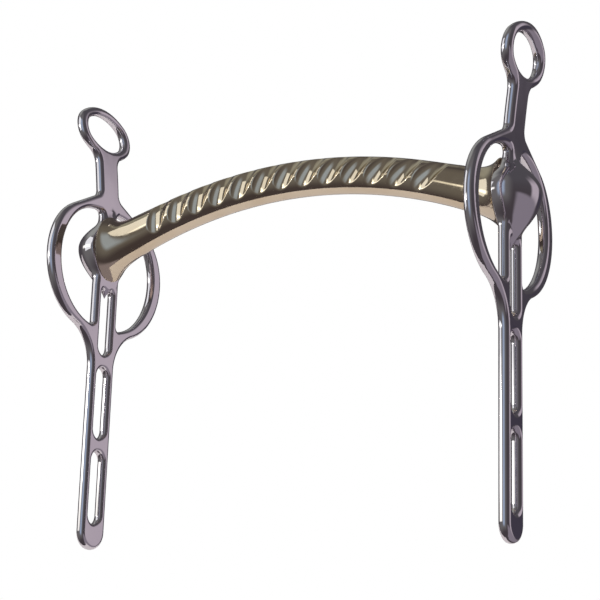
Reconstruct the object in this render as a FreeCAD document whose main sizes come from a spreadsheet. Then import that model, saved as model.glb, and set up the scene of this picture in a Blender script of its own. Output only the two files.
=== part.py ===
"""Butterfly driving bit: two fixed flat cheeks and an arched, corrugated mouthpiece.

Frame: X runs along the mouthpiece from the left cheek to the right cheek, Y from the front of the bit
(the corrugated face) to its back, Z up towards the eyes. The origin is midway between the centres of the
two eyes, where the bit hangs. Heights in the sheet are measured up from the shank tips: every body is
drawn from there, and its Placement lowers it by the height of the eyes. Millimetres.
"""
import FreeCAD, Part
import math
import os
import Sketcher

V = FreeCAD.Vector

SIZES = [
    ("mouth_width", 145.0, "clear width between the cheeks' inner faces"),
    ("mouth_height", 101.5, "middle of the boss and of the mouthpiece's end above the shank tips"),
    ("plate_thick", 3.6, "thickness of a cheek"),
    ("edge_round", 0.8, "rounding of a cheek's edges"),
    ("shank_width", 11.6, "width of the straight shank"),
    ("neck_width", 10.0, "width of the neck under the eye"),
    ("wing_reach", 29.9, "middle of the cheek to the outside of a wing"),
    ("wing_height", 95.0, "height of the wings' widest point, where the outward bend starts"),
    ("wing_low_radius", 23.2, "outer radius of a wing below its widest point"),
    ("wing_high_radius", 20.9, "outer radius of a wing above its widest point"),
    ("wing_bar", 5.2, "width of a wing's bar at its widest point"),
    ("window_low_radius", 21.0, "lower radius of a wing's opening"),
    ("window_high_radius", 19.6, "upper radius of a wing's opening"),
    ("window_corner", 1.4, "corner radius of a wing's opening"),
    ("waist_width", 7.6, "width of the centre member above the boss"),
    ("shank_blend", 14.0, "radius between the shank and a wing"),
    ("neck_blend", 3.0, "radius between the neck and a wing"),
    ("neck_foot", 122.3, "height where the neck meets the wings"),
    ("eye_blend", 5.0, "radius between the neck and the eye"),
    ("eye_height", 144.1, "height of the eye's centre"),
    ("eye_half_long", 13.5, "eye, outside, half length fore and aft"),
    ("eye_half_tall", 9.5, "eye, outside, half height"),
    ("eye_side_radius", 7.4, "outer radius of the eye's two ends"),
    ("hole_half_long", 10.0, "eye opening, half length fore and aft"),
    ("hole_half_tall", 6.3, "eye opening, half height"),
    ("hole_side_radius", 4.6, "radius of the eye opening's two ends"),
    ("slot_width", 6.0, "width of a rein slot"),
    ("slot_length", 23.6, "length of a rein slot"),
    ("slot_pitch", 28.2, "distance from one rein slot to the next"),
    ("slot_floor", 8.5, "height of the lowest slot's lower end"),
    ("bend_radius", 270.0, "radius of the outward bend of the upper cheek"),
    ("boss_half_wide", 9.4, "half width of the olive-shaped boss"),
    ("boss_half_tall", 10.8, "half height of the boss"),
    ("tenon_radius", 4.0, "mouthpiece tenon and its socket"),
    ("tenon_length", 6.0, "length of the tenon"),
    ("socket_spare", 0.5, "depth of the socket past the tenon"),
    ("arch_radius", 166.0, "radius of the mouthpiece's arch"),
    ("arch_height", 116.2, "mouthpiece axis above the shank tips, at its middle"),
    ("settle_length", 7.0, "length over which the axis leaves the arch to meet the boss"),
    ("bar_half_tall", 5.85, "half height of the bar at the middle"),
    ("bar_half_deep", 5.6, "half depth of the bar at the middle, front to back"),
    ("bar_growth", 0.5, "extra half height and depth gained gradually towards the cheeks"),
    ("flare_tall", 5.15, "extra half height of the flared end"),
    ("flare_deep", 2.9, "extra half depth of the flared end"),
    ("flare_length", 4.3, "length over which the flare dies away"),
    ("scoop_count", 13, "corrugations on the front of the mouthpiece"),
    ("scoop_pitch", 8.25, "distance from one corrugation to the next"),
    ("scoop_radius", 5.0, "radius of a corrugation across its hollow"),
    ("scoop_wrap", 11.7, "radius at which the floor of a corrugation curls round the bar"),
    ("scoop_depth", 1.35, "depth of a corrugation at its middle"),
    ("scoop_lean", 19.0, "lean of the corrugations away from square, in degrees"),
    ("scoop_rise", 13.0, "how far above straight ahead the corrugations face, in degrees"),
]

doc = FreeCAD.newDocument("CurbBit")
sheet = doc.addObject("Spreadsheet::Sheet", "Sizes")
for row, (alias, value, note) in enumerate(SIZES, start=1):
    sheet.set(f"A{row}", alias)
    sheet.set(f"B{row}", str(value))
    sheet.set(f"C{row}", note)
    sheet.setAlias(f"B{row}", alias)
doc.recompute()


def size(alias):
    """The value of one driving dimension."""
    return float(getattr(sheet, alias))


def new_body(name):
    """A sub-part, drawn from the shank tips and hung from the line through the eyes."""
    body = doc.addObject("PartDesign::Body", name)
    body.Label = name
    body.setExpression("Placement.Base.z", "-Sizes.eye_height")
    return body


def origin_plane(body, role):
    """One of a body's own origin planes or axes."""
    return next(f for f in body.Origin.OriginFeatures if f.Role == role)


def new_sketch(body, name, role):
    """A sketch lying in one of its body's origin planes."""
    sketch = body.newObject("Sketcher::SketchObject", name)
    sketch.AttachmentSupport = [(origin_plane(body, role), "")]
    sketch.MapMode = "FlatFace"
    return sketch


class Drawing:
    """Adds geometry and sheet-driven constraints to one sketch."""

    def __init__(self, sketch):
        self.sketch = sketch

    def line(self, start, end):
        return self.sketch.addGeometry(Part.LineSegment(V(*start, 0), V(*end, 0)), False)

    def arc(self, centre, radius, start, end):
        """An arc from angle start to angle end, counter-clockwise, in radians."""
        circle = Part.Circle(V(*centre, 0), V(0, 0, 1), radius)
        return self.sketch.addGeometry(Part.ArcOfCircle(circle, start, end), False)

    def rule(self, kind, *args):
        return self.sketch.addConstraint(Sketcher.Constraint(kind, *args))

    def drive(self, kind, *args, value, formula):
        """A dimension with its starting value, bound to a formula of sheet cells."""
        index = self.rule(kind, *args, value)
        self.sketch.setExpression(f"Constraints[{index}]", formula)

    def place(self, geo, point, side, x=None, y=None):
        """Fixes a point's distance from the sketch's axes; x is measured towards side."""
        if x is not None:
            ends = (-1, 1, geo, point) if side > 0 else (geo, point, -1, 1)
            self.drive("DistanceX", *ends, value=x[0], formula=x[1])
        if y is not None:
            self.drive("DistanceY", -1, 1, geo, point, value=y[0], formula=y[1])


def mirrored(side, start, end):
    """Arc angles for the right half, or the same arc mirrored to the left half."""
    return (start, end) if side > 0 else (math.pi - end, math.pi - start)


def angle_of(centre, point):
    """Angle of a point seen from a centre."""
    return math.atan2(point[1] - centre[1], point[0] - centre[0])


def towards(start, end, distance):
    """The point at a distance from start on the way to end."""
    span = math.hypot(end[0] - start[0], end[1] - start[1])
    return tuple(s + (e - s) * distance / span for s, e in zip(start, end))


def oval_top_radius(half_long, half_tall, side_radius):
    """Radius of an oval's long sides when its four arcs meet tangentially."""
    reach = half_long - side_radius
    return (reach ** 2 + half_tall ** 2 - side_radius ** 2) / (2 * (half_tall - side_radius))


def oval_top_formula(half_long, half_tall, side_radius):
    """The same radius as a formula of sheet cells."""
    a, b, r = f"Sizes.{half_long}", f"Sizes.{half_tall}", f"Sizes.{side_radius}"
    return f"(({a} - {r})^2 + {b}^2 - {r}^2) / (2 * ({b} - {r}))"


def draw_outline(sketch):
    """The cheek's outline from the round tip to the oval eye, inside a waste frame."""
    pen = Drawing(sketch)
    half_shank = size("shank_width") / 2
    half_neck = size("neck_width") / 2
    wing_z = size("wing_height")
    low_r, high_r = size("wing_low_radius"), size("wing_high_radius")
    blend_r, neck_r, eye_r = size("shank_blend"), size("neck_blend"), size("eye_blend")
    low_c = (size("wing_reach") - low_r, wing_z)
    high_c = (size("wing_reach") - high_r, wing_z)
    blend_x = half_shank + blend_r
    blend_z = wing_z - math.sqrt((blend_r + low_r) ** 2 - (blend_x - low_c[0]) ** 2)
    blend_c = (blend_x, blend_z)
    low_start = towards(blend_c, low_c, blend_r)
    foot_c = (half_neck + neck_r, size("neck_foot"))
    gap = math.hypot(foot_c[0] - high_c[0], foot_c[1] - high_c[1])
    slope = angle_of(high_c, foot_c) - math.acos((high_r + neck_r) / gap)
    high_end = (high_c[0] + high_r * math.cos(slope), high_c[1] + high_r * math.sin(slope))
    foot_start = (foot_c[0] - neck_r * math.cos(slope), foot_c[1] - neck_r * math.sin(slope))
    eye_z, side_r = size("eye_height"), size("eye_side_radius")
    long_r = oval_top_radius(size("eye_half_long"), size("eye_half_tall"), side_r)
    under_c = (0.0, eye_z + long_r - size("eye_half_tall"))
    over_c = (0.0, eye_z - long_r + size("eye_half_tall"))
    side_c = (size("eye_half_long") - side_r, eye_z)
    throat_x = half_neck + eye_r
    throat_c = (throat_x, under_c[1] - math.sqrt((long_r + eye_r) ** 2 - throat_x ** 2))
    throat_end = towards(throat_c, under_c, eye_r)
    turn = angle_of(under_c, side_c)

    tip = pen.arc((0.0, half_shank), half_shank, math.pi, 2 * math.pi)
    crown = pen.arc(over_c, long_r, angle_of(over_c, side_c), math.pi - angle_of(over_c, side_c))
    for side in (1, -1):
        def at(point):
            return (side * point[0], point[1])

        def bow(centre, radius, start, end):
            return pen.arc(at(centre), radius, *mirrored(side, start, end))

        def joint(first, first_end, second, second_end):
            pen.rule("Tangent", first, first_end, second, second_end)

        # An arc's two ends are named head (counter-clockwise start) and tail on the right half.
        head, tail = (1, 2) if side > 0 else (2, 1)
        shank = pen.line(at((half_shank, half_shank)), at((half_shank, blend_z)))
        blend = bow(blend_c, blend_r, angle_of(blend_c, low_start), math.pi)
        low = bow(low_c, low_r, angle_of(low_c, low_start), 0.0)
        high = bow(high_c, high_r, 0.0, slope)
        shoulder = pen.line(at(high_end), at(foot_start))
        foot = bow(foot_c, neck_r, math.pi, math.pi + slope)
        neck = pen.line(at((half_neck, foot_c[1])), at((half_neck, throat_c[1])))
        throat = bow(throat_c, eye_r, angle_of(throat_c, throat_end), math.pi)
        under = bow(under_c, long_r, angle_of(under_c, throat_end), turn)
        cheek_end = bow(side_c, side_r, turn, angle_of(over_c, side_c))

        joint(tip, tail, shank, 1)
        joint(shank, 2, blend, tail)
        joint(blend, head, low, head)
        joint(low, tail, high, head)
        joint(high, tail, shoulder, 1)
        joint(shoulder, 2, foot, tail)
        joint(foot, head, neck, 1)
        joint(neck, 2, throat, tail)
        joint(throat, head, under, head)
        joint(under, tail, cheek_end, head)
        joint(cheek_end, tail, crown, head)
        pen.rule("Vertical", shank)
        pen.rule("Vertical", neck)
        for geo, cell in ((blend, "shank_blend"), (low, "wing_low_radius"), (high, "wing_high_radius"),
                          (foot, "neck_blend"), (throat, "eye_blend"), (cheek_end, "eye_side_radius")):
            pen.drive("Radius", geo, value=size(cell), formula=f"Sizes.{cell}")
        pen.drive("Radius", under, value=long_r,
                  formula=oval_top_formula("eye_half_long", "eye_half_tall", "eye_side_radius"))
        pen.place(low, 3, side, x=(low_c[0], "Sizes.wing_reach - Sizes.wing_low_radius"),
                  y=(wing_z, "Sizes.wing_height"))
        pen.place(high, 3, side, y=(wing_z, "Sizes.wing_height"))
        pen.place(foot, 3, side, y=(foot_c[1], "Sizes.neck_foot"))
        pen.place(neck, 1, side, x=(half_neck, "Sizes.neck_width / 2"))
        pen.rule("PointOnObject", under, 3, -2)
        pen.place(under, 3, side, y=(under_c[1], "Sizes.eye_height - Sizes.eye_half_tall + "
                                     + oval_top_formula("eye_half_long", "eye_half_tall", "eye_side_radius")))
        pen.place(cheek_end, 3, side, y=(eye_z, "Sizes.eye_height"))
    pen.drive("Radius", tip, value=half_shank, formula="Sizes.shank_width / 2")
    pen.rule("PointOnObject", tip, 3, -2)
    pen.place(tip, 3, 1, y=(half_shank, "Sizes.shank_width / 2"))
    pen.drive("Radius", crown, value=long_r,
              formula=oval_top_formula("eye_half_long", "eye_half_tall", "eye_side_radius"))
    draw_frame(pen)


def draw_frame(pen):
    """A rectangle well outside the cheek, which bounds the waste to be cut away."""
    margin = 15.0
    reach = size("wing_reach") + margin
    top = size("eye_height") + size("eye_half_tall") + margin
    corners = [(-reach, -margin), (reach, -margin), (reach, top), (-reach, top)]
    sides = [pen.line(corners[i], corners[(i + 1) % 4]) for i in range(4)]
    for i in range(4):
        pen.rule("Coincident", sides[i], 2, sides[(i + 1) % 4], 1)
        pen.rule("Horizontal" if i % 2 == 0 else "Vertical", sides[i])
    pen.place(sides[1], 1, 1, x=(reach, f"Sizes.wing_reach + {margin}"))
    pen.place(sides[3], 1, -1, x=(reach, f"Sizes.wing_reach + {margin}"))
    pen.place(sides[2], 1, 1, y=(top, f"Sizes.eye_height + Sizes.eye_half_tall + {margin}"))
    pen.drive("DistanceY", sides[0], 1, -1, 1, value=margin, formula=f"{margin}")


def draw_slot(sketch):
    """The lowest rein slot: two straight sides and two round ends."""
    pen = Drawing(sketch)
    half = size("slot_width") / 2
    low = size("slot_floor") + half
    high = size("slot_floor") + size("slot_length") - half
    right = pen.line((half, low), (half, high))
    top = pen.arc((0.0, high), half, 0.0, math.pi)
    left = pen.line((-half, high), (-half, low))
    bottom = pen.arc((0.0, low), half, math.pi, 2 * math.pi)
    pen.rule("Tangent", right, 2, top, 1)
    pen.rule("Tangent", top, 2, left, 1)
    pen.rule("Tangent", left, 2, bottom, 1)
    pen.rule("Tangent", bottom, 2, right, 1)
    pen.rule("PointOnObject", top, 3, -2)
    pen.rule("Vertical", right)
    pen.drive("Radius", top, value=half, formula="Sizes.slot_width / 2")
    pen.place(bottom, 3, 1, y=(low, "Sizes.slot_floor + Sizes.slot_width / 2"))
    pen.place(top, 3, 1, y=(high, "Sizes.slot_floor + Sizes.slot_length - Sizes.slot_width / 2"))


def draw_eye_hole(sketch):
    """The oval opening of the eye: four arcs that meet tangentially."""
    pen = Drawing(sketch)
    cells = ("hole_half_long", "hole_half_tall", "hole_side_radius")
    half_long, half_tall, side_r = (size(cell) for cell in cells)
    long_r = oval_top_radius(half_long, half_tall, side_r)
    eye_z = size("eye_height")
    reach = half_long - side_r
    turn = math.atan2(long_r - half_tall, reach)
    right = pen.arc((reach, eye_z), side_r, -turn, turn)
    top = pen.arc((0.0, eye_z - long_r + half_tall), long_r, turn, math.pi - turn)
    left = pen.arc((-reach, eye_z), side_r, math.pi - turn, math.pi + turn)
    bottom = pen.arc((0.0, eye_z + long_r - half_tall), long_r, math.pi + turn, 2 * math.pi - turn)
    ring = (right, top, left, bottom)
    for first, second in zip(ring, ring[1:] + ring[:1]):
        pen.rule("Tangent", first, 2, second, 1)
    pen.drive("Radius", right, value=side_r, formula="Sizes.hole_side_radius")
    pen.drive("Radius", left, value=side_r, formula="Sizes.hole_side_radius")
    pen.drive("Radius", top, value=long_r, formula=oval_top_formula(*cells))
    formula = "Sizes.hole_half_long - Sizes.hole_side_radius"
    pen.place(right, 3, 1, x=(reach, formula), y=(eye_z, "Sizes.eye_height"))
    pen.place(left, 3, -1, x=(reach, formula), y=(eye_z, "Sizes.eye_height"))
    pen.drive("Radius", bottom, value=long_r, formula=oval_top_formula(*cells))


def window_points():
    """Corners and centres of the rear wing's opening, in the plane of the cheek."""
    wing_z = size("wing_height")
    reach = size("wing_reach") - size("wing_bar")
    low_r, high_r = size("window_low_radius"), size("window_high_radius")
    low_c, high_c = (reach - low_r, wing_z), (reach - high_r, wing_z)
    half_shank, half_waist = size("shank_width") / 2, size("waist_width") / 2
    foot = (half_shank, wing_z - math.sqrt(low_r ** 2 - (half_shank - low_c[0]) ** 2))
    head = (half_waist, wing_z + math.sqrt(high_r ** 2 - (half_waist - high_c[0]) ** 2))
    return low_c, low_r, high_c, high_r, foot, head


def draw_window(sketch):
    """The opening of the rear wing: two arcs outside, two straight runs along the centre member."""
    pen = Drawing(sketch)
    low_c, low_r, high_c, high_r, foot, head = window_points()
    wing_z = size("wing_height")
    knee = (foot[0], wing_z - size("slot_width"))
    low = pen.arc(low_c, low_r, angle_of(low_c, foot), 0.0)
    high = pen.arc(high_c, high_r, 0.0, angle_of(high_c, head))
    waist = pen.line(head, knee)
    rail = pen.line(knee, foot)
    pen.rule("Tangent", low, 2, high, 1)
    pen.rule("Coincident", high, 2, waist, 1)
    pen.rule("Coincident", waist, 2, rail, 1)
    pen.rule("Coincident", rail, 2, low, 1)
    pen.rule("Vertical", rail)
    pen.drive("Radius", low, value=low_r, formula="Sizes.window_low_radius")
    pen.drive("Radius", high, value=high_r, formula="Sizes.window_high_radius")
    pen.place(low, 3, 1, x=(low_c[0], "Sizes.wing_reach - Sizes.wing_bar - Sizes.window_low_radius"),
              y=(wing_z, "Sizes.wing_height"))
    pen.place(high, 3, 1, y=(wing_z, "Sizes.wing_height"))
    pen.place(rail, 2, 1, x=(foot[0], "Sizes.shank_width / 2"))
    pen.place(rail, 1, 1, y=(knee[1], "Sizes.wing_height - Sizes.slot_width"))
    pen.place(waist, 1, 1, x=(head[0], "Sizes.waist_width / 2"))


def draw_side(sketch, side):
    """The cheek seen from the front: straight up to the wings, then bent outwards on an arc."""
    pen = Drawing(sketch)
    inner = size("mouth_width") / 2
    outer = inner + size("plate_thick")
    bend_z, outer_r = size("wing_height"), size("bend_radius")
    inner_r = outer_r + size("plate_thick")
    centre = (side * (outer + outer_r), bend_z)
    reach = size("eye_height") + size("eye_half_tall") - bend_z
    sweep = math.asin(reach / outer_r) + math.radians(1.0)

    def on_arc(radius):
        return (centre[0] - side * radius * math.cos(sweep), bend_z + radius * math.sin(sweep))

    angles = (math.pi - sweep, math.pi) if side > 0 else (0.0, sweep)
    high, low = (1, 2) if side > 0 else (2, 1)
    foot = pen.line((side * inner, 0.0), (side * outer, 0.0))
    outer_line = pen.line((side * outer, 0.0), (side * outer, bend_z))
    outer_arc = pen.arc(centre, outer_r, *angles)
    top = pen.line(on_arc(outer_r), on_arc(inner_r))
    inner_arc = pen.arc(centre, inner_r, *angles)
    inner_line = pen.line((side * inner, bend_z), (side * inner, 0.0))
    pen.rule("Coincident", foot, 2, outer_line, 1)
    pen.rule("Tangent", outer_line, 2, outer_arc, low)
    pen.rule("Coincident", outer_arc, high, top, 1)
    pen.rule("Coincident", top, 2, inner_arc, high)
    pen.rule("Tangent", inner_arc, low, inner_line, 1)
    pen.rule("Coincident", inner_line, 2, foot, 1)
    pen.rule("Coincident", outer_arc, 3, inner_arc, 3)
    pen.rule("Vertical", outer_line)
    pen.rule("PointOnObject", foot, 1, -1)
    pen.rule("PointOnObject", foot, 2, -1)
    pen.drive("Radius", outer_arc, value=outer_r, formula="Sizes.bend_radius")
    pen.place(foot, 1, side, x=(inner, "Sizes.mouth_width / 2"))
    pen.place(foot, 2, side, x=(outer, "Sizes.mouth_width / 2 + Sizes.plate_thick"))
    pen.place(outer_arc, 3, side, y=(bend_z, "Sizes.wing_height"))
    top_z = "Sizes.eye_height + Sizes.eye_half_tall"
    for geo, point, radius in ((top, 1, outer_r), (top, 2, inner_r)):
        pen.drive("DistanceY", -1, 1, geo, point, value=on_arc(radius)[1],
                  formula=f"{top_z} + {on_arc(radius)[1] - bend_z - reach:.3f}")


def is_side(face):
    """True for the two broad sides of the plate, flat or bent."""
    u_low, u_high, v_low, v_high = face.ParameterRange
    return abs(face.normalAt((u_low + u_high) / 2, (v_low + v_high) / 2).x) > 0.9


def edge_names(shape, wanted):
    """Names of the edges whose two faces pass the test."""
    names = []
    for number, edge in enumerate(shape.Edges, start=1):
        faces = shape.ancestorsOfType(edge, Part.Face)
        if len(faces) == 2 and wanted(edge, faces):
            names.append(f"Edge{number}")
    return names


def is_rim(edge, faces):
    """An edge between a broad side of the plate and a wall that runs across it."""
    return is_side(faces[0]) != is_side(faces[1])


def is_corner(edge, faces):
    """A sharp edge between two walls that run across the plate."""
    if is_side(faces[0]) or is_side(faces[1]):
        return False
    middle = edge.valueAt((edge.FirstParameter + edge.LastParameter) / 2)
    normals = [face.normalAt(*face.Surface.parameter(middle)) for face in faces]
    return normals[0].dot(normals[1]) < 0.9


def rounding(body, name, cell, wanted):
    """Rounds the chosen edges of a body's latest shape."""
    base = body.Tip
    feature = body.newObject("PartDesign::Fillet", name)
    feature.Base = (base, edge_names(base.Shape, wanted))
    feature.setExpression("Radius", f"Sizes.{cell}")
    body.Tip = feature
    doc.recompute()


def across(body, sketch, kind, name, length):
    """A pad or a pocket that runs both ways from its sketch."""
    feature = body.newObject(f"PartDesign::{kind}", name)
    feature.Profile = sketch
    feature.SideType = "Symmetric"
    feature.Type = "Length"
    feature.setExpression("Length", length)
    return feature


def make_cheek(name, side):
    """One cheek; side is +1 for the right one and -1 for the left one."""
    body = new_body(name)
    profile = new_sketch(body, f"{name}_side", "XZ_Plane")
    draw_side(profile, side)
    across(body, profile, "Pad", f"{name}_slab", "2 * Sizes.wing_reach")
    wide = "2 * Sizes.mouth_width"
    outline = new_sketch(body, f"{name}_outline", "YZ_Plane")
    draw_outline(outline)
    across(body, outline, "Pocket", f"{name}_waste", wide)
    hole = new_sketch(body, f"{name}_eye_sketch", "YZ_Plane")
    draw_eye_hole(hole)
    across(body, hole, "Pocket", f"{name}_eye", wide)
    window = new_sketch(body, f"{name}_window_sketch", "YZ_Plane")
    draw_window(window)
    opening = across(body, window, "Pocket", f"{name}_window", wide)
    both = body.newObject("PartDesign::Mirrored", f"{name}_windows")
    both.Originals = [opening]
    both.MirrorPlane = (origin_plane(body, "XZ_Plane"), [""])
    body.Tip = both
    slot = new_sketch(body, f"{name}_slot_sketch", "YZ_Plane")
    draw_slot(slot)
    lowest = across(body, slot, "Pocket", f"{name}_slot", wide)
    slots = body.newObject("PartDesign::LinearPattern", f"{name}_slots")
    slots.Originals = [lowest]
    slots.Direction = (origin_plane(body, "Z_Axis"), [""])
    slots.Occurrences = 3
    slots.setExpression("Length", "2 * Sizes.slot_pitch")
    body.Tip = slots
    doc.recompute()
    rounding(body, f"{name}_corners", "window_corner", is_corner)
    rounding(body, f"{name}_edges", "edge_round", is_rim)
    add_boss(body, name, side)
    return body


def add_boss(body, name, side):
    """The olive-shaped boss, cut flush with the inner face, with a blind socket for the tenon."""
    boss = body.newObject("PartDesign::AdditiveEllipsoid", f"{name}_boss")
    boss.Radius1, boss.Radius2, boss.Radius3 = 10.0, 9.0, 9.0
    boss.setExpression("Radius1", "Sizes.boss_half_tall")
    boss.setExpression("Radius2", "Sizes.boss_half_wide")
    boss.setExpression("Radius3", "Sizes.boss_half_wide")
    boss.setExpression("Placement.Base.x", f"{side} * (Sizes.mouth_width / 2 + Sizes.plate_thick / 2)")
    boss.setExpression("Placement.Base.z", "Sizes.mouth_height")
    body.Tip = boss
    trim = body.newObject("PartDesign::SubtractiveBox", f"{name}_seat")
    trim.setExpression("Length", "Sizes.boss_half_wide")
    trim.setExpression("Width", "4 * Sizes.boss_half_wide")
    trim.setExpression("Height", "4 * Sizes.boss_half_tall")
    shift = "- Sizes.boss_half_wide" if side > 0 else ""
    trim.setExpression("Placement.Base.x", f"{side} * Sizes.mouth_width / 2 {shift}")
    trim.setExpression("Placement.Base.y", "-2 * Sizes.boss_half_wide")
    trim.setExpression("Placement.Base.z", "Sizes.mouth_height - 2 * Sizes.boss_half_tall")
    body.Tip = trim
    socket = body.newObject("PartDesign::SubtractiveCylinder", f"{name}_socket")
    socket.setExpression("Radius", "Sizes.tenon_radius")
    socket.setExpression("Height", "Sizes.tenon_length + Sizes.socket_spare")
    socket.Placement = FreeCAD.Placement(V(0, 0, 0), FreeCAD.Rotation(V(0, 1, 0), 90 * side))
    socket.setExpression("Placement.Base.x", f"{side} * Sizes.mouth_width / 2")
    socket.setExpression("Placement.Base.z", "Sizes.mouth_height")
    body.Tip = socket
    doc.recompute()


def axis_height(x):
    """Height of the bar's axis at x: an arch that settles onto the middle of the bosses."""
    half, radius = size("mouth_width") / 2, size("arch_radius")
    top = size("arch_height") - radius
    lift = size("mouth_height") - top - math.sqrt(radius ** 2 - half ** 2)
    return top + math.sqrt(radius ** 2 - x ** 2) + lift * math.exp((abs(x) - half) / size("settle_length"))


def axis_height_formula(share):
    """The same height as a formula of sheet cells, at a share of the half width."""
    half, radius = "(Sizes.mouth_width / 2)", "Sizes.arch_radius"
    top = f"(Sizes.arch_height - {radius})"
    lift = f"(Sizes.mouth_height - {top} - sqrt({radius}^2 - {half}^2))"
    return (f"{top} + sqrt({radius}^2 - ({share:.4f} * {half})^2)"
            f" + {lift} * exp({share - 1:.4f} * {half} / Sizes.settle_length)")


def bar_half(direction, share):
    """Half height (tall) or half depth (deep) of the bar at a share of the half width."""
    flare = size(f"flare_{direction}") * math.exp((share - 1) * size("mouth_width") / 2 / size("flare_length"))
    return size(f"bar_half_{direction}") + size("bar_growth") * share ** 2 + flare


def bar_half_formula(direction, share):
    """The same half height or half depth as a formula of sheet cells."""
    return (f"Sizes.bar_half_{direction} + Sizes.bar_growth * {share ** 2:.4f}"
            f" + Sizes.flare_{direction} * exp({share - 1:.4f} * Sizes.mouth_width / 2 / Sizes.flare_length)")


def draw_section(sketch, share):
    """An ellipse, taller than it is deep, centred on the sketch."""
    pen = Drawing(sketch)
    tall, deep = bar_half("tall", share), bar_half("deep", share)
    ellipse = sketch.addGeometry(Part.Ellipse(V(0, tall, 0), V(deep, 0, 0), V(0, 0, 0)), False)
    sketch.exposeInternalGeometry(ellipse)
    long_axis, short_axis = ellipse + 1, ellipse + 2
    pen.rule("Coincident", ellipse, 3, -1, 1)
    pen.rule("Vertical", long_axis)
    pen.drive("Distance", long_axis, value=2 * tall, formula=f"2 * ({bar_half_formula('tall', share)})")
    pen.drive("Distance", short_axis, value=2 * deep, formula=f"2 * ({bar_half_formula('deep', share)})")


def make_mouthpiece():
    """The arched bar: oval sections along an arc, a flare and a tenon at each end, front corrugations."""
    body = new_body("mouthpiece")
    half = size("mouth_width") / 2
    shares = [0.0, 0.25, 0.5, 0.7, 0.82, 0.9, 0.945, 0.975, 1.0]
    tilted_shares = 0.82
    sections = []
    for number, station in enumerate([-share for share in reversed(shares[1:])] + shares):
        share = abs(station)
        sketch = new_sketch(body, f"bar_section_{number:02d}", "YZ_Plane")
        # Sections stand square to the arch, then turn upright over the flare to meet the cheeks.
        upright = max(0.0, (share - tilted_shares) / (1 - tilted_shares))
        turn = math.degrees(math.asin(station * half / size("arch_radius"))) * (1 - upright)
        place = V(0, axis_height(station * half), station * half)
        sketch.AttachmentOffset = FreeCAD.Placement(place, FreeCAD.Rotation(V(1, 0, 0), turn))
        sketch.setExpression("AttachmentOffset.Base.z", f"{station:.4f} * Sizes.mouth_width / 2")
        sketch.setExpression("AttachmentOffset.Base.y", axis_height_formula(share))
        draw_section(sketch, share)
        sections.append(sketch)
    doc.recompute()
    bar = body.newObject("PartDesign::AdditiveLoft", "bar")
    bar.Profile = sections[0]
    bar.Sections = sections[1:]
    body.Tip = bar
    for name, side in (("left", -1), ("right", 1)):
        tenon = body.newObject("PartDesign::AdditiveCylinder", f"tenon_{name}")
        tenon.setExpression("Radius", "Sizes.tenon_radius")
        tenon.setExpression("Height", "Sizes.tenon_length + Sizes.tenon_radius")
        tenon.Placement = FreeCAD.Placement(V(0, 0, 0), FreeCAD.Rotation(V(0, 1, 0), 90 * side))
        tenon.setExpression("Placement.Base.x", f"{side} * (Sizes.mouth_width / 2 - Sizes.tenon_radius)")
        tenon.setExpression("Placement.Base.z", "Sizes.mouth_height")
        body.Tip = tenon
    doc.recompute()
    add_scoops(body)
    return body


def add_scoops(body):
    """Leaning ring-shaped cuts that curl round the front of the bar, evenly spaced along the arch."""
    count = int(size("scoop_count"))
    rise, lean = math.radians(size("scoop_rise")), math.radians(size("scoop_lean"))
    for number in range(count):
        x = (number - (count - 1) / 2) * size("scoop_pitch")
        share = abs(x) / (size("mouth_width") / 2)
        slope = math.asin(x / size("arch_radius"))
        along = V(math.cos(slope), 0, -math.sin(slope))
        above = V(math.sin(slope), 0, math.cos(slope))
        outward = V(0, -math.cos(rise), 0) + above * math.sin(rise)
        around = along.cross(outward)
        ring_axis = along * math.cos(lean) + around * math.sin(lean)
        behind = bar_half("deep", share) - size("scoop_depth") - size("scoop_wrap")
        scoop = body.newObject("PartDesign::SubtractiveTorus", f"scoop_{number:02d}")
        scoop.setExpression("Radius1", "Sizes.scoop_wrap + Sizes.scoop_radius")
        scoop.setExpression("Radius2", "Sizes.scoop_radius")
        spin = FreeCAD.Rotation(V(0, 0, 1), ring_axis)
        scoop.Placement = FreeCAD.Placement(V(x, 0, axis_height(x)) + outward * behind, spin)
        body.Tip = scoop
    doc.recompute()


def check_document():
    """Stops if any object failed, or if a sub-part is not one valid solid."""
    for item in doc.Objects:
        if "Invalid" in item.State or "Error" in item.State:
            raise RuntimeError(f"{item.Name} is {item.State}")


def export(body):
    """Checks one sub-part and writes its STEP file."""
    shape = body.Shape
    if shape.isNull() or not shape.isValid() or len(shape.Solids) != 1:
        raise RuntimeError(f"{body.Label}: null, invalid or not one solid ({len(shape.Solids)})")
    box = shape.BoundBox
    print(f"{body.Label}: volume {shape.Volume:.0f} mm3, "
          f"X {box.XMin:.2f}..{box.XMax:.2f}, Y {box.YMin:.2f}..{box.YMax:.2f}, Z {box.ZMin:.2f}..{box.ZMax:.2f}")
    shape.exportStep(f"parts/{body.Label}.step")


cheeks = [make_cheek("left_cheek", -1), make_cheek("right_cheek", 1)]
mouthpiece = make_mouthpiece()
doc.recompute()
check_document()
os.makedirs("parts", exist_ok=True)
for piece in cheeks + [mouthpiece]:
    export(piece)
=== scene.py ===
"""Butterfly driving bit: two mirror-polished cheeks and an arched, corrugated bar of golden alloy.

The three pieces are built from distance fields. Each field is a formula of arcs, lines, ovals, rings and
cylinders, joined with soft blends as a polished casting is. The fields are meshed on a fine grid, and every
vertex is then moved onto the field's surface and given the field's own normal.

Lengths are millimetres, with heights measured up from the shank tips and X from the middle of the bit.
to_frame() turns them into metres in the shared frame. The stage, lamps and camera are in metres.
"""
import math
import bpy
import numpy as np
from mathutils import Matrix, Vector


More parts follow.
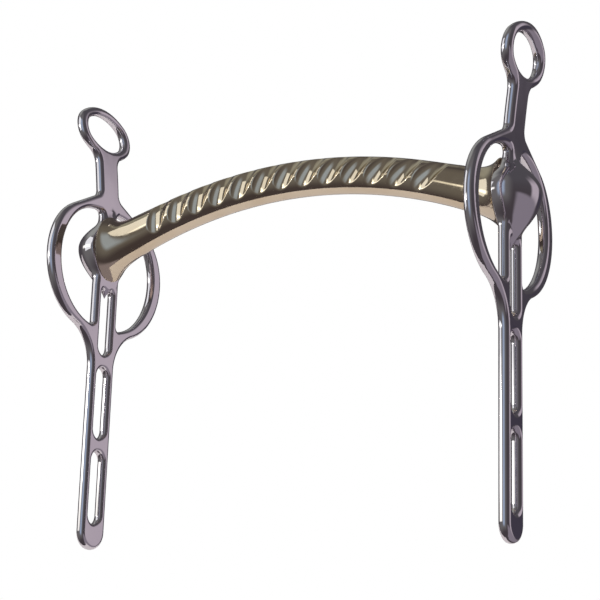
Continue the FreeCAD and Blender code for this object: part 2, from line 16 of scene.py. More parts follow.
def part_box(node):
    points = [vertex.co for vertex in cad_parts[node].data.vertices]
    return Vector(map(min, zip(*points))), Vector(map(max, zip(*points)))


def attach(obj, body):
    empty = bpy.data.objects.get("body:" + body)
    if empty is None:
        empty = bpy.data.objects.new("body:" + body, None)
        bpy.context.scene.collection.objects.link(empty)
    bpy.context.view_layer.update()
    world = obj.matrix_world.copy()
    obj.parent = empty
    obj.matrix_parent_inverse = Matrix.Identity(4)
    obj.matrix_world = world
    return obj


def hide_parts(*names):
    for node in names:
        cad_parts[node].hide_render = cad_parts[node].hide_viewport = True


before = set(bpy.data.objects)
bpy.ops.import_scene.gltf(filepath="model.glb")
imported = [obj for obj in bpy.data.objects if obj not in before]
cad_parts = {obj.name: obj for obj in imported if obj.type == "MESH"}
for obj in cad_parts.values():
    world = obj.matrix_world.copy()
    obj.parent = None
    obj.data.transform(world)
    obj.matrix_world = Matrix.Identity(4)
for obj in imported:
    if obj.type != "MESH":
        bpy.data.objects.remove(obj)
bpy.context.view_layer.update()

# Places that the frame gives, and SEAT_Z, the height at which the bar's ends sit in the bosses.
MM = 0.001
cheek_low, cheek_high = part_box("right_cheek")
TIP_Z = cheek_low[2]
INNER = cheek_low[0] / MM
REACH = cheek_high[1] / MM
EYE_Z = -TIP_Z / MM
TOP = (cheek_high[2] - TIP_Z) / MM
SEAT_Z = 101.5

# The cheek's plate. Above BEND_START it curves outwards.
THICK = 3.6
BEND_START = 95.0
BEND_RADIUS = 270.0
SHANK_HALF = 5.8
NECK_HALF = 5.0
WAIST_HALF = 3.8
WING_WIDE = 5.2

# Its narrow faces are crowned with this radius, a little past the rims, and the rims are rounded.
EDGE_CROWN = 2.2
EDGE_SOFT = 0.6
CROWN_MARGIN = 0.3

# The eye: half sizes and end radii of the oval of its rim and the oval of its opening.
EYE_RIM_LONG = 13.5
EYE_RIM_SIDE = 7.4
EYE_HOLE_LONG = 10.0
EYE_HOLE_TALL = 6.3
EYE_HOLE_SIDE = 4.6

# The rein slots.
SLOTS = 3
SLOT_HALF = 3.0
SLOT_FLOOR = 8.5
SLOT_LENGTH = 23.6
SLOT_PITCH = 28.2

# The boss, and the tenon that sits in its socket. boss_field() says what the plain numbers do.
BOSS_OUT = 9.4
BOSS_WIDE = 10.2
BOSS_LOW_TAIL = 17.5
BOSS_HIGH_TAIL = 13.5
BOSS_POWER = 0.72
BOSS_SCALE = 0.85
BOSS_STOP = 12
BOSS_BLEND = 3.0
SEAT_SOFT = 0.25
TENON_RADIUS = 4.0
TENON_LENGTH = 6.0
TENON_SIDE_GAP = 0.05
TENON_END_GAP = 0.1

# The mouthpiece: an arched bar of oval section that grows and then flares towards the cheeks.
ARCH_RADIUS = 166.0
ARCH_HEIGHT = 116.2
ARCH_FOOT = ARCH_HEIGHT - ARCH_RADIUS + math.sqrt(ARCH_RADIUS ** 2 - INNER ** 2)
ARCH_SETTLE = 7.0
BAR_TALL = 5.85
BAR_DEEP = 5.6
BAR_GROWTH = 0.5
BAR_END_SOFT = 0.3
FLARE_TALL = 5.15
FLARE_DEEP = 2.9
FLARE_LENGTH = 4.3
UPRIGHT_FROM = 0.82
UPRIGHT_SPAN = 0.18

# Its corrugations, each cut by a ring that curls round the bar's front.
SCOOPS = 13
SCOOP_PITCH = 8.25
SCOOP_RADIUS = 5.0
SCOOP_WRAP = 11.7
SCOOP_DEPTH = 1.35
SCOOP_LEAN = math.radians(19.0)
SCOOP_RISE = math.radians(13.0)
SCOOP_SOFT = 0.18

# The meshing: grid pitches, empty cells round a piece, and how vertices are moved onto the surface.
CHEEK_PITCH = 0.3
BAR_PITCH = 0.315
BAR_HEADROOM = 1
CELLS_BEFORE = 2.3
CELLS_AFTER = 3
GRADIENT_STEP = 0.01
SETTLE_ROUNDS = 4
LEAST_SLOPE = 0.05
LEAST_STEEP = 1e-6
LEAST_MOVE = 1e-9
FAR = 1e9


def to_frame(points):
    """Millimetres above the shank tips to metres in the shared frame."""
    return points * MM + np.array([0.0, 0.0, TIP_Z])


# ---------------------------------------------------------------- distance fields in a plane

def arc(centre, radius, start, end):
    """Part of a path. Angles are radians, and the solid is inside the circle when end is past start."""
    return ("arc", centre, radius, start, end)


def line(start, end):
    """Part of a path, with the solid on its left."""
    return ("line", start, end)


def path_distance(path, y, z):
    """Signed distance to a path of tangent arcs and lines, negative in the solid."""
    best = np.full(np.broadcast(y, z).shape, FAR)
    signed = best.copy()
    for kind, *rest in path:
        if kind == "line":
            (y0, z0), (y1, z1) = rest
            length = math.hypot(y1 - y0, z1 - z0)
            uy = (y1 - y0) / length
            uz = (z1 - z0) / length
            along = np.clip((y - y0) * uy + (z - z0) * uz, 0.0, length)
            gap = np.hypot(y - y0 - along * uy, z - z0 - along * uz)
            side = (y - y0) * uz - (z - z0) * uy
        else:
            (cy, cz), radius, start, end = rest
            middle = (start + end) / 2
            half = abs(end - start) / 2
            turn = (np.arctan2(z - cz, y - cy) - middle + math.pi) % (2 * math.pi) - math.pi
            angle = middle + np.clip(turn, -half, half)
            gap = np.hypot(y - cy - radius * np.cos(angle), z - cz - radius * np.sin(angle))
            side = (np.hypot(y - cy, z - cz) - radius) * (1 if end > start else -1)
        nearer = gap < best
        best = np.where(nearer, gap, best)
        signed = np.where(nearer, np.where(side < 0, -gap, gap), signed)
    return signed


def angle_of(centre, point):
    """Direction from a centre to a point, in radians."""
    return math.atan2(point[1] - centre[1], point[0] - centre[0])


def between(start, end, distance):
    """The point at a distance from start on the way to end."""
    share = distance / math.dist(start, end)
    return (start[0] + (end[0] - start[0]) * share, start[1] + (end[1] - start[1]) * share)


def oval(half_long, half_tall, side_radius, centre_z):
    """An oval of four arcs: the centres of its rear arc and its upper arc, and the upper arc's radius."""
    reach = half_long - side_radius
    long_radius = (reach ** 2 + half_tall ** 2 - side_radius ** 2) / (2 * (half_tall - side_radius))
    return (reach, centre_z), (0.0, centre_z + half_tall - long_radius), long_radius


def outline_path():
    """The cheek's outline from the tip to the crown of the eye, rear half."""
    low_radius = 23.2
    high_radius = 20.9
    blend_radius = 14.0
    foot_radius = 3.0
    foot_z = 122.3
    throat_radius = 5.0
    low_c = (REACH - low_radius, BEND_START)
    high_c = (REACH - high_radius, BEND_START)
    blend_y = SHANK_HALF + blend_radius
    blend_z = BEND_START - math.sqrt((blend_radius + low_radius) ** 2 - (blend_y - low_c[0]) ** 2)
    blend_c = (blend_y, blend_z)
    foot_c = (NECK_HALF + foot_radius, foot_z)
    slope = angle_of(high_c, foot_c) - math.acos((high_radius + foot_radius) / math.dist(high_c, foot_c))
    shoulder = (high_c[0] + high_radius * math.cos(slope), high_c[1] + high_radius * math.sin(slope))
    foot = (foot_c[0] - foot_radius * math.cos(slope), foot_c[1] - foot_radius * math.sin(slope))
    side_c, over_c, long_radius = oval(EYE_RIM_LONG, TOP - EYE_Z, EYE_RIM_SIDE, EYE_Z)
    under_c = (0.0, 2 * EYE_Z - over_c[1])
    throat_y = NECK_HALF + throat_radius
    throat_c = (throat_y, under_c[1] - math.sqrt((long_radius + throat_radius) ** 2 - throat_y ** 2))
    tip_c = (0.0, SHANK_HALF)
    low_start = between(blend_c, low_c, blend_radius)
    throat_end = between(throat_c, under_c, throat_radius)
    turn = angle_of(over_c, side_c)
    return [
        arc(tip_c, SHANK_HALF, -math.pi / 2, 0.0),
        line((SHANK_HALF, SHANK_HALF), (SHANK_HALF, blend_z)),
        arc(blend_c, blend_radius, math.pi, angle_of(blend_c, low_start)),
        arc(low_c, low_radius, angle_of(low_c, low_start), 0.0),
        arc(high_c, high_radius, 0.0, slope),
        line(shoulder, foot),
        arc(foot_c, foot_radius, math.pi + slope, math.pi),
        line((NECK_HALF, foot_c[1]), (NECK_HALF, throat_c[1])),
        arc(throat_c, throat_radius, math.pi, angle_of(throat_c, throat_end)),
        arc(under_c, long_radius, angle_of(under_c, throat_end), -turn),
        arc(side_c, EYE_RIM_SIDE, -turn, turn),
        arc(over_c, long_radius, turn, math.pi / 2),
    ]


def eye_path():
    """The eye's opening, rear half, as a solid."""
    side_c, over_c, long_radius = oval(EYE_HOLE_LONG, EYE_HOLE_TALL, EYE_HOLE_SIDE, EYE_Z)
    under_c = (0.0, 2 * EYE_Z - over_c[1])
    turn = angle_of(over_c, side_c)
    return [
        arc(under_c, long_radius, -math.pi / 2, -turn),
        arc(side_c, EYE_HOLE_SIDE, -turn, turn),
        arc(over_c, long_radius, turn, math.pi / 2),
    ]


def corner_in_circle(centre, radius, corner_radius, wall_y, up):
    """Centre of a corner arc that touches a circle from inside and an upright wall from its right."""
    y = wall_y + corner_radius
    rise = math.sqrt((radius - corner_radius) ** 2 - (y - centre[0]) ** 2)
    return (y, centre[1] + (rise if up else -rise))


def window_path():
    """The opening of the rear wing, as a solid: two outer arcs, and the centre member's rail and waist."""
    low_radius = 21.0
    high_radius = 19.6
    corner = 1.5
    knee_radius = 12.0
    knee_z = 88.0
    reach = REACH - WING_WIDE
    low_c = (reach - low_radius, BEND_START)
    high_c = (reach - high_radius, BEND_START)
    foot_c = corner_in_circle(low_c, low_radius, corner, SHANK_HALF, up=False)
    head_c = corner_in_circle(high_c, high_radius, corner, WAIST_HALF, up=True)
    lower_c = (SHANK_HALF - knee_radius, knee_z)
    upper_y = WAIST_HALF + knee_radius
    rise = math.sqrt((2 * knee_radius) ** 2 - (upper_y - lower_c[0]) ** 2)
    upper_c = (upper_y, lower_c[1] + rise)
    meet = angle_of(lower_c, upper_c)
    return [
        arc(foot_c, corner, math.pi, angle_of(low_c, foot_c) + 2 * math.pi),
        arc(low_c, low_radius, angle_of(low_c, foot_c), 0.0),
        arc(high_c, high_radius, 0.0, angle_of(high_c, head_c)),
        arc(head_c, corner, angle_of(high_c, head_c), math.pi),
        line((WAIST_HALF, head_c[1]), (WAIST_HALF, upper_c[1])),
        arc(upper_c, knee_radius, math.pi, math.pi + meet),
        arc(lower_c, knee_radius, meet, 0.0),
        line((SHANK_HALF, lower_c[1]), (SHANK_HALF, foot_c[1])),
    ]


OUTLINE = outline_path()
EYE = eye_path()
WINDOW = window_path()


def flat_distance(y, z):
    """Signed distance to the cheek's shape seen from the side, negative in the metal."""
    y = np.abs(y)
    distance = path_distance(OUTLINE, y, z)
    distance = np.maximum(distance, -path_distance(EYE, y, z))
    distance = np.maximum(distance, -path_distance(WINDOW, y, z))
    for number in range(SLOTS):
        low = SLOT_FLOOR + number * SLOT_PITCH + SLOT_HALF
        high = low + SLOT_LENGTH - 2 * SLOT_HALF
        distance = np.maximum(distance, SLOT_HALF - np.hypot(y, z - np.clip(z, low, high)))
    return distance


def oval_distance(y, z, deep, tall):
    """Roughly the signed distance to an ellipse about the origin, and zero exactly on it."""
    scaled = np.sqrt((y / deep) ** 2 + (z / tall) ** 2)
    steep = np.sqrt((y / deep ** 2) ** 2 + (z / tall ** 2) ** 2)
    return scaled * (scaled - 1) / np.maximum(steep, LEAST_STEEP)


# ---------------------------------------------------------------- distance fields in space

def rounded_both(first, second, radius):
    """Where both fields are solid, with their common edge rounded."""
    a = first + radius
    b = second + radius
    return np.minimum(np.maximum(a, b), 0) + np.hypot(np.maximum(a, 0), np.maximum(b, 0)) - radius


def blended_either(first, second, radius):
    """Where either field is solid, with the inner corner between them filled smoothly."""
    near = np.maximum(radius - np.abs(first - second), 0) / radius
    return np.minimum(first, second) - near ** 3 * radius / 6


def boss_field(x, y, rise):
    """The olive-shaped boss: nearly round in plan, with a long tail down the shank and a short one up.

    BOSS_POWER under 1 makes it fuller. BOSS_SCALE brings the field near a true distance, and BOSS_STOP
    ends the boss past its tails.
    """
    reach = np.abs(rise) / np.where(rise < 0, BOSS_LOW_TAIL, BOSS_HIGH_TAIL)
    wave = np.maximum(0.5 + 0.5 * np.cos(math.pi * np.minimum(reach, 1)), 0)
    radius = BOSS_OUT * wave ** BOSS_POWER
    plan = np.hypot(x, y * BOSS_OUT / BOSS_WIDE) - radius
    return BOSS_SCALE * plan + BOSS_STOP * np.maximum(reach - 1, 0)


def cheek_field(x, y, z, flat=None):
    """The right cheek. flat may hold flat_distance(y, z) where it is already known."""
    flat = flat_distance(y, z) if flat is None else flat
    middle = INNER + THICK / 2
    bend = middle + BEND_RADIUS + THICK / 2
    bent = BEND_RADIUS + THICK / 2 - np.hypot(x - bend, z - BEND_START)
    offset = np.where(z > BEND_START, bent, x - middle)
    crowned = np.minimum(np.abs(offset), THICK / 2 + CROWN_MARGIN)
    bulge = EDGE_CROWN - np.sqrt(EDGE_CROWN ** 2 - crowned ** 2)
    plate = rounded_both(flat + bulge, np.abs(offset) - THICK / 2, EDGE_SOFT)
    boss = boss_field(x - middle, y, z - SEAT_Z)
    metal = blended_either(plate, boss, BOSS_BLEND)
    metal = rounded_both(metal, INNER - x, SEAT_SOFT)
    socket = np.maximum(np.hypot(y, z - SEAT_Z) - TENON_RADIUS, x - INNER - TENON_LENGTH)
    return np.maximum(metal, -socket)


def axis_height(x):
    """Height of the bar's axis: an arch that settles onto the middle of the bosses."""
    within = np.minimum(np.abs(x), INNER)
    arch = ARCH_HEIGHT - ARCH_RADIUS + np.sqrt(ARCH_RADIUS ** 2 - within ** 2)
    return arch + (SEAT_Z - ARCH_FOOT) * np.exp((within - INNER) / ARCH_SETTLE)


def scoop_rings():
    """Centre and axis of the ring that cuts each corrugation."""
    for number in range(SCOOPS):
        x = (number - (SCOOPS - 1) / 2) * SCOOP_PITCH
        slope = math.asin(x / ARCH_RADIUS)
        along = np.array([math.cos(slope), 0.0, -math.sin(slope)])
        above = np.array([math.sin(slope), 0.0, math.cos(slope)])
        outward = np.array([0.0, -math.cos(SCOOP_RISE), 0.0]) + above * math.sin(SCOOP_RISE)
        around = np.cross(along, outward)
        ring_axis = along * math.cos(SCOOP_LEAN) + around * math.sin(SCOOP_LEAN)
        behind = BAR_DEEP + BAR_GROWTH * (x / INNER) ** 2 - SCOOP_DEPTH - SCOOP_WRAP
        yield np.array([x, 0.0, float(axis_height(x))]) + outward * behind, ring_axis


def bar_field(x, y, z):
    """The mouthpiece with its corrugations, flared ends and tenons.

    Its oval section is square to the arch, and turns upright over the last part before the cheeks.
    """
    share = np.minimum(np.abs(x) / INNER, 1.0)
    flare = np.exp((share - 1) * INNER / FLARE_LENGTH)
    tall = BAR_TALL + BAR_GROWTH * share ** 2 + FLARE_TALL * flare
    deep = BAR_DEEP + BAR_GROWTH * share ** 2 + FLARE_DEEP * flare
    upright = np.clip((share - UPRIGHT_FROM) / UPRIGHT_SPAN, 0, 1)
    slope = np.arcsin(share * INNER / ARCH_RADIUS) * (1 - upright)
    rise = (z - axis_height(x)) * np.cos(slope)
    bar = rounded_both(oval_distance(y, rise, deep, tall), np.abs(x) - INNER, BAR_END_SOFT)
    for centre, ring_axis in scoop_rings():
        px, py, pz = x - centre[0], y - centre[1], z - centre[2]
        aside = px * ring_axis[0] + py * ring_axis[1] + pz * ring_axis[2]
        away = np.sqrt(np.maximum(px ** 2 + py ** 2 + pz ** 2 - aside ** 2, 0))
        ring = np.hypot(away - SCOOP_WRAP - SCOOP_RADIUS, aside) - SCOOP_RADIUS
        bar = rounded_both(bar, -ring, SCOOP_SOFT)
    beyond = np.abs(np.abs(x) - INNER) - TENON_LENGTH + TENON_END_GAP
    tenon = np.maximum(np.hypot(y, z - SEAT_Z) - TENON_RADIUS + TENON_SIDE_GAP, beyond)
    return np.minimum(bar, tenon)


# ---------------------------------------------------------------- fields to meshes

def gradient(field, points):
    """The field's slope at each point, by central differences."""
    slopes = []
    for axis in range(3):
        shift = np.zeros(3)
        shift[axis] = GRADIENT_STEP
        ahead = points + shift
        behind = points - shift
        slopes.append((field(*ahead.T) - field(*behind.T)) / (2 * GRADIENT_STEP))
    return np.stack(slopes, axis=1)


def net_points(values, low, pitch):
    """One vertex in each cell that the surface crosses, and the grid of their numbers."""
    solid = values < 0
    corners = [(a, b, c) for a in (0, 1) for b in (0, 1) for c in (0, 1)]
    cells = tuple(n - 1 for n in values.shape)

    def window(grid, a, b, c):
        return grid[a:a + cells[0], b:b + cells[1], c:c + cells[2]]

    count = sum(window(solid, *corner).astype(np.int8) for corner in corners)
    active = np.argwhere((count > 0) & (count < len(corners)))
    at = {corner: values[tuple((active + corner).T)] for corner in corners}
    total = np.zeros((len(active), 3))
    crossings = np.zeros(len(active))
    for start in corners:
        for axis in range(3):
            if start[axis]:
                continue
            end = tuple(1 if n == axis else start[n] for n in range(3))
            here = at[start]
            there = at[end]
            crossed = (here < 0) != (there < 0)
            share = np.where(crossed, here / np.where(crossed, here - there, 1.0), 0.0)
            spot = np.array(start, float)[None, :].repeat(len(active), axis=0)
            spot[:, axis] += share
            total += spot * crossed[:, None]
            crossings += crossed
    number = np.full(cells, -1, np.int32)
    number[tuple(active.T)] = np.arange(len(active))
    return low + (active + total / crossings[:, None]) * pitch, number


def net_quads(values, number):
    """One quad for each grid edge that the surface crosses."""
    solid = values < 0
    quads = []
    for axis in range(3):
        u = (axis + 1) % 3
        v = (axis + 2) % 3
        first = [slice(None)] * 3
        second = [slice(None)] * 3
        first[axis] = slice(0, -1)
        second[axis] = slice(1, None)
        here = solid[tuple(first)]
        there = solid[tuple(second)]
        edges = np.argwhere(here != there)
        edges = edges[(edges[:, u] > 0) & (edges[:, v] > 0)]
        leaving = here[tuple(edges.T)]
        ring = []
        for du, dv in ((1, 1), (0, 1), (0, 0), (1, 0)):
            cell = edges.copy()
            cell[:, u] -= du
            cell[:, v] -= dv
            ring.append(number[tuple(cell.T)])
        ring = np.stack(ring, axis=1)
        quads.append(np.where(leaving[:, None], ring, ring[:, ::-1]))
    return np.concatenate(quads)


def settle(field, points, reach):
    """Moves points onto the field's surface, each by reach at most in a round."""
    for _ in range(SETTLE_ROUNDS):
        slope = gradient(field, points)
        steep = np.maximum((slope ** 2).sum(axis=1), LEAST_SLOPE)
        move = (field(*points.T) / steep)[:, None] * slope
        size = np.linalg.norm(move, axis=1, keepdims=True)
        points = points - move * np.minimum(1.0, reach / np.maximum(size, LEAST_MOVE))
    return points


def grid_axes(low, high, pitch):
    """The grid's X, Y and Z values over a box, with a few empty cells round it."""
    return [np.arange(a - CELLS_BEFORE * pitch, b + CELLS_AFTER * pitch, pitch) for a, b in zip(low, high)]


def shape(field, values, axes, pitch):
    """Vertices, quads and normals of a field's surface, from its values on a grid."""
    low = np.array([axis[0] for axis in axes])
    points, number = net_points(values, low, pitch)
    points = settle(field, points, pitch / 2)
    slope = gradient(field, points)
    return points, net_quads(values, number), slope / np.linalg.norm(slope, axis=1, keepdims=True)


def add_piece(name, points, quads, normals, material):
    """A smooth mesh object with the given normals."""
    mesh = bpy.data.meshes.new(name)
    mesh.from_pydata(to_frame(points).tolist(), [], quads.tolist())
    mesh.validate()
    mesh.shade_smooth()
    mesh.normals_split_custom_set_from_vertices(normals.tolist())
    mesh.materials.append(material)
    piece = bpy.data.objects.new(name, mesh)
    bpy.context.scene.collection.objects.link(piece)
    return piece


def claim(piece, node):
    """Puts a piece in a CAD node's place."""
    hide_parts(node)
    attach(piece, "root")


def make_cheeks(material):
    """The right cheek, and the left one as its mirror image."""
    pitch = CHEEK_PITCH
    low = [INNER, -REACH, 0.0]
    high = [INNER + THICK / 2 + BOSS_OUT, REACH, TOP]
    axes = grid_axes(low, high, pitch)
    x, y, z = np.meshgrid(*axes, indexing="ij", sparse=True)
    flat = flat_distance(*np.meshgrid(axes[1], axes[2], indexing="ij"))[None]
    points, quads, normals = shape(cheek_field, cheek_field(x, y, z, flat), axes, pitch)
    for node, side in (("right_cheek", 1), ("left_cheek", -1)):
        flip = np.array([side, 1, 1])
        piece = add_piece(f"{node}_casting", points * flip, quads[:, ::side], normals * flip, material)
        claim(piece, node)


def make_bar(material):
    """The mouthpiece."""
    pitch = BAR_PITCH
    side = INNER + TENON_LENGTH
    front = BAR_DEEP + BAR_GROWTH + FLARE_DEEP
    bottom = SEAT_Z - BAR_TALL - BAR_GROWTH - FLARE_TALL
    top = ARCH_HEIGHT + BAR_TALL + BAR_HEADROOM
    axes = grid_axes([-side, -front, bottom], [side, front, top], pitch)
    values = bar_field(*np.meshgrid(*axes, indexing="ij"))
    points, quads, normals = shape(bar_field, values, axes, pitch)
    claim(add_piece("mouthpiece_bar", points, quads, normals, material), "mouthpiece")


# ---------------------------------------------------------------- materials

class Nodes:
    """A short way to add and join shader nodes."""

    def __init__(self, tree):
        self.tree = tree
        tree.nodes.clear()

    def add(self, kind, values=None, **settings):
        """A node with its settings, and its inputs set to values or linked to sockets."""
        node = self.tree.nodes.new(kind)
        for key, value in settings.items():
            setattr(node, key, value)
        for key, value in (values or {}).items():
            if isinstance(value, bpy.types.NodeSocket):
                self.tree.links.new(value, node.inputs[key])
            else:
                node.inputs[key].default_value = value
        return node

    def math(self, operation, *values):
        """The result of a Math node."""
        return self.add("ShaderNodeMath", dict(enumerate(values)), operation=operation).outputs[0]

    def mix(self, share, first, second):
        """Two colours mixed. Inputs 6 and 7 and output 2 are the Mix node's colour sockets."""
        return self.add("ShaderNodeMix", {0: share, 6: first, 7: second}, data_type="RGBA").outputs[2]

    def ramp(self, value, low, high, out_low=0.0, out_high=1.0):
        """A smooth step from out_low to out_high as the value goes from low to high."""
        values = {"Value": value, "From Min": low, "From Max": high, "To Min": out_low, "To Max": out_high}
        return self.add("ShaderNodeMapRange", values, interpolation_type="SMOOTHSTEP").outputs[0]

    def noise(self, place, scale, detail):
        """Noise from 0 to 1. A scale of 1000 makes patches of about a millimetre."""
        values = {"Vector": place, "Scale": scale, "Detail": detail}
        return self.add("ShaderNodeTexNoise", values).outputs["Fac"]

    def bump(self, height, strength, distance, normal=None):
        """The normal bent by a height."""
        values = {"Height": height, "Strength": strength, "Distance": distance}
        if normal is not None:
            values["Normal"] = normal
        return self.add("ShaderNodeBump", values).outputs[0]


# Each noise pattern's scale, and the span of its values over which it takes effect. Lines run along Z.
CLOUD_SCALE = 60.0
CLOUD_SPAN = (0.35, 0.7)
SMEAR_SCALE = 420.0
SMEAR_SPAN = (0.4, 0.75)
SMEAR_GAIN = 2.0
LINE_STRETCH = (2600.0, 2600.0, 160.0)
LINE_SPAN = (0.62, 0.78)
LINE_DISTANCE = 0.00002
WAVE_SCALE = 130.0
WAVE_DISTANCE = 0.0004


def polished_metal(name, colour, tint, roughness, ripple, grain):
    """Polished metal: faint colour clouds, uneven gloss, soft waves from the buffing wheel, fine lines."""
    material = bpy.data.materials.new(name)
    material.use_nodes = True
    nodes = Nodes(material.node_tree)
    place = nodes.add("ShaderNodeTexCoord").outputs["Object"]
    cloud = nodes.noise(place, CLOUD_SCALE, 3.0)
    smear = nodes.noise(place, SMEAR_SCALE, 4.0)
    stretched = nodes.add("ShaderNodeMapping", {"Vector": place, "Scale": LINE_STRETCH}).outputs[0]
    lines = nodes.noise(stretched, 1.0, 2.0)
    wave = nodes.noise(place, WAVE_SCALE, 1.0)
    mixed = nodes.mix(nodes.ramp(cloud, *CLOUD_SPAN), colour, tint)
    smeared = nodes.ramp(smear, *SMEAR_SPAN, roughness, roughness * SMEAR_GAIN)
    scratched = nodes.ramp(lines, *LINE_SPAN, 0.0, grain)
    waves = nodes.bump(wave, ripple, WAVE_DISTANCE)
    metal = nodes.add("ShaderNodeBsdfPrincipled", {
        "Base Color": mixed,
        "Metallic": 1.0,
        "Roughness": nodes.math("ADD", smeared, scratched),
        "Normal": nodes.bump(lines, grain, LINE_DISTANCE, waves),
    })
    nodes.add("ShaderNodeOutputMaterial", {"Surface": metal.outputs[0]})
    return material


# ---------------------------------------------------------------- stage, light and camera

# Azimuth is measured from straight ahead of the bit's front (-Y) towards the right (+X).
ROOM_LOW = (0.065, 0.055, 0.062, 1.0)
ROOM_HIGH = (0.085, 0.080, 0.090, 1.0)
ROOM_SPAN = (-30.0, 60.0)
WHITE = (1.0, 1.0, 1.0, 1.0)
PANELS = [
    # azimuth span, height span, softness, colour
    ((-78.0, 30.0), (-36.0, 75.0), (18.0, 20.0), (0.16, 0.155, 0.155, 1.0)),
    ((112.0, 149.0), (-12.0, 40.0), (6.0, 16.0), (0.50, 0.44, 0.49, 1.0)),
    ((149.0, 170.0), (-4.0, 14.0), (3.0, 5.0), (0.055, 0.048, 0.068, 1.0)),
    ((-18.0, 10.0), (-16.0, 42.0), (6.0, 12.0), (0.36, 0.44, 0.57, 1.0)),
    ((55.0, 175.0), (-80.0, -10.0), (10.0, 5.0), (0.25, 0.22, 0.26, 1.0)),
    ((-150.0, -60.0), (40.0, 66.0), (12.0, 10.0), (0.33, 0.34, 0.32, 1.0)),
    ((-72.0, -30.0), (4.0, 10.0), (5.0, 3.0), (1.6, 1.6, 1.5, 1.0)),
]
FLOOR_Z = 1.75 * TIP_Z
FLOOR_HALF = 6.0
FLOOR_EDGE = 0.04
FLOOR_COLOUR = (0.92, 0.87, 0.87, 1.0)
LAMP_AIM = Vector((0.0, 0.0, 0.25 * TIP_Z))
CAMERA_PLACE = (0.2425, -0.3945, TIP_Z - 0.0334)
CAMERA_AZIMUTH = 31.21
CAMERA_PITCH = 13.40
CAMERA_ROLL = 1.73
CAMERA_LENS = 90.95


def make_world():
    """A dim room with soft panels, which the metal reflects. The camera itself sees plain white."""
    world = bpy.data.worlds.new("studio")
    world.use_nodes = True
    bpy.context.scene.world = world
    nodes = Nodes(world.node_tree)
    direction = nodes.add("ShaderNodeTexCoord").outputs["Generated"]
    parts = nodes.add("ShaderNodeSeparateXYZ", {"Vector": direction}).outputs
    degrees = 180.0 / math.pi
    ahead = nodes.math("MULTIPLY", parts[1], -1.0)
    azimuth = nodes.math("MULTIPLY", nodes.math("ARCTAN2", parts[0], ahead), degrees)
    height = nodes.math("MULTIPLY", nodes.math("ARCSINE", parts[2]), degrees)

    def window(value, low, high, soft):
        rising = nodes.ramp(value, low - soft, low + soft)
        falling = nodes.ramp(value, high - soft, high + soft, 1.0, 0.0)
        return nodes.math("MULTIPLY", rising, falling)

    light = nodes.mix(nodes.ramp(height, *ROOM_SPAN), ROOM_LOW, ROOM_HIGH)
    for side, height_span, soft, colour in PANELS:
        mask = nodes.math("MULTIPLY", window(azimuth, *side, soft[0]), window(height, *height_span, soft[1]))
        light = nodes.mix(mask, light, colour)
    room = nodes.add("ShaderNodeBackground", {"Color": light, "Strength": 1.0})
    pale = nodes.add("ShaderNodeBackground", {"Color": WHITE, "Strength": 1.0})
    seen = nodes.add("ShaderNodeLightPath").outputs["Is Camera Ray"]
    mixed = nodes.add("ShaderNodeMixShader", {0: seen, 1: room.outputs[0], 2: pale.outputs[0]})
    nodes.add("ShaderNodeOutputWorld", {"Surface": mixed.outputs[0]})


def make_floor():
    """A plain pale floor in three parts. The metal reflects only the rear left part, "floor"."""
    material = bpy.data.materials.new("floor_paper")
    material.use_nodes = True
    nodes = Nodes(material.node_tree)
    paper = nodes.add("ShaderNodeBsdfPrincipled", {"Base Color": FLOOR_COLOUR, "Roughness": 0.9})
    nodes.add("ShaderNodeOutputMaterial", {"Surface": paper.outputs[0]})
    parts = {
        "floor": (-FLOOR_HALF, FLOOR_EDGE, 0.0, FLOOR_HALF),
        "floor_side": (FLOOR_EDGE, FLOOR_HALF, 0.0, FLOOR_HALF),
        "floor_front": (-FLOOR_HALF, FLOOR_HALF, -FLOOR_HALF, 0.0),
    }
    for name, (left, right, near, far) in parts.items():
        mesh = bpy.data.meshes.new(name)
        corners = [(x, y, FLOOR_Z) for x, y in ((left, near), (right, near), (right, far), (left, far))]
        mesh.from_pydata(corners, [], [(0, 1, 2, 3)])
        mesh.materials.append(material)
        floor = bpy.data.objects.new(name, mesh)
        floor.visible_glossy = name == "floor"
        bpy.context.scene.collection.objects.link(floor)


def add_floor_light():
    """A soft sun that lights the floor. The metal doesn't reflect it."""
    lamp = bpy.data.lights.new("floor_light", "SUN")
    lamp.energy = 1.85
    lamp.angle = math.radians(40.0)
    lamp.color = (1.0, 0.98, 0.97)
    sun = bpy.data.objects.new("floor_light", lamp)
    sun.rotation_euler = (math.radians(-20.0), math.radians(10.0), 0.0)
    sun.visible_glossy = False
    bpy.context.scene.collection.objects.link(sun)


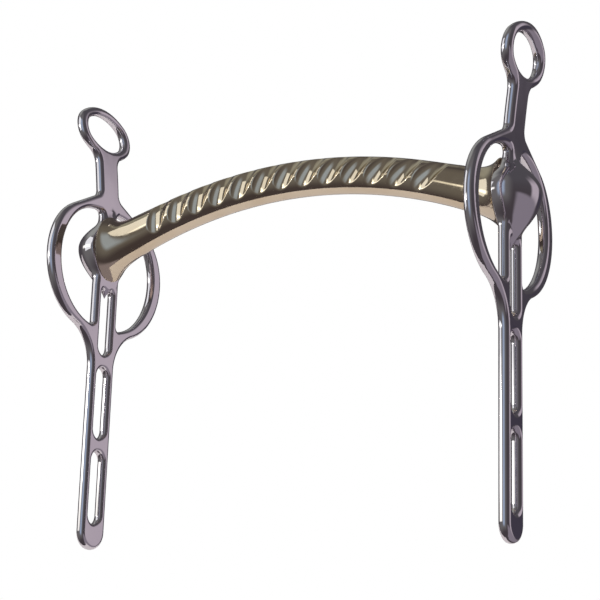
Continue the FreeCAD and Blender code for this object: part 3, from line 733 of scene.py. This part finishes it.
def add_softbox(name, azimuth, height, distance, size, radiance, colour):
    """A rectangular lamp that faces the bit. Azimuth is measured as for the panels."""
    turn = math.radians(azimuth)
    lift = math.radians(height)
    away = Vector((math.sin(turn) * math.cos(lift), -math.cos(turn) * math.cos(lift), math.sin(lift)))
    lamp = bpy.data.lights.new(name, "AREA")
    lamp.shape = "RECTANGLE"
    lamp.size = size[0]
    lamp.size_y = size[1]
    lamp.energy = radiance * math.pi * size[0] * size[1]
    lamp.color = colour
    softbox = bpy.data.objects.new(name, lamp)
    softbox.location = LAMP_AIM + away * distance
    softbox.rotation_euler = away.to_track_quat("Z", "Y").to_euler()
    softbox.visible_camera = False
    bpy.context.scene.collection.objects.link(softbox)


def make_camera():
    """The camera: low, in front and to the right, looking slightly up."""
    azimuth, pitch, roll = (math.radians(angle) for angle in (CAMERA_AZIMUTH, CAMERA_PITCH, CAMERA_ROLL))
    level_part = math.cos(pitch)
    forward = Vector((-math.sin(azimuth) * level_part, math.cos(azimuth) * level_part, math.sin(pitch)))
    level = Vector((math.cos(azimuth), math.sin(azimuth), 0.0))
    upright = level.cross(forward)
    right = math.cos(roll) * level + math.sin(roll) * upright
    up = math.cos(roll) * upright - math.sin(roll) * level
    data = bpy.data.cameras.new("camera")
    data.sensor_width = 36.0
    data.lens = CAMERA_LENS
    data.clip_start = 0.01
    camera = bpy.data.objects.new("camera", data)
    turn = Matrix((right, up, -forward)).transposed().to_4x4()
    camera.matrix_world = Matrix.Translation(CAMERA_PLACE) @ turn
    bpy.context.scene.collection.objects.link(camera)
    bpy.context.scene.camera = camera


make_camera()
make_world()
make_floor()
add_floor_light()
add_softbox("key", azimuth=-49.0, height=18.0, distance=0.37,
            size=(0.20, 0.34), radiance=0.85, colour=(0.96, 0.99, 1.0))
add_softbox("glint", azimuth=-42.0, height=3.5, distance=0.60,
            size=(0.025, 0.025), radiance=30.0, colour=(1.0, 0.96, 0.90))
steel = polished_metal("polished_steel", colour=(0.80, 0.77, 0.80, 1.0), tint=(0.76, 0.73, 0.77, 1.0),
                       roughness=0.035, ripple=0.10, grain=0.06)
bronze = polished_metal("bronze_alloy", colour=(0.80, 0.69, 0.52, 1.0), tint=(0.74, 0.62, 0.45, 1.0),
                        roughness=0.07, ripple=0.12, grain=0.10)
make_cheeks(steel)
make_bar(bronze)
bpy.context.scene.view_settings.view_transform = "Standard"
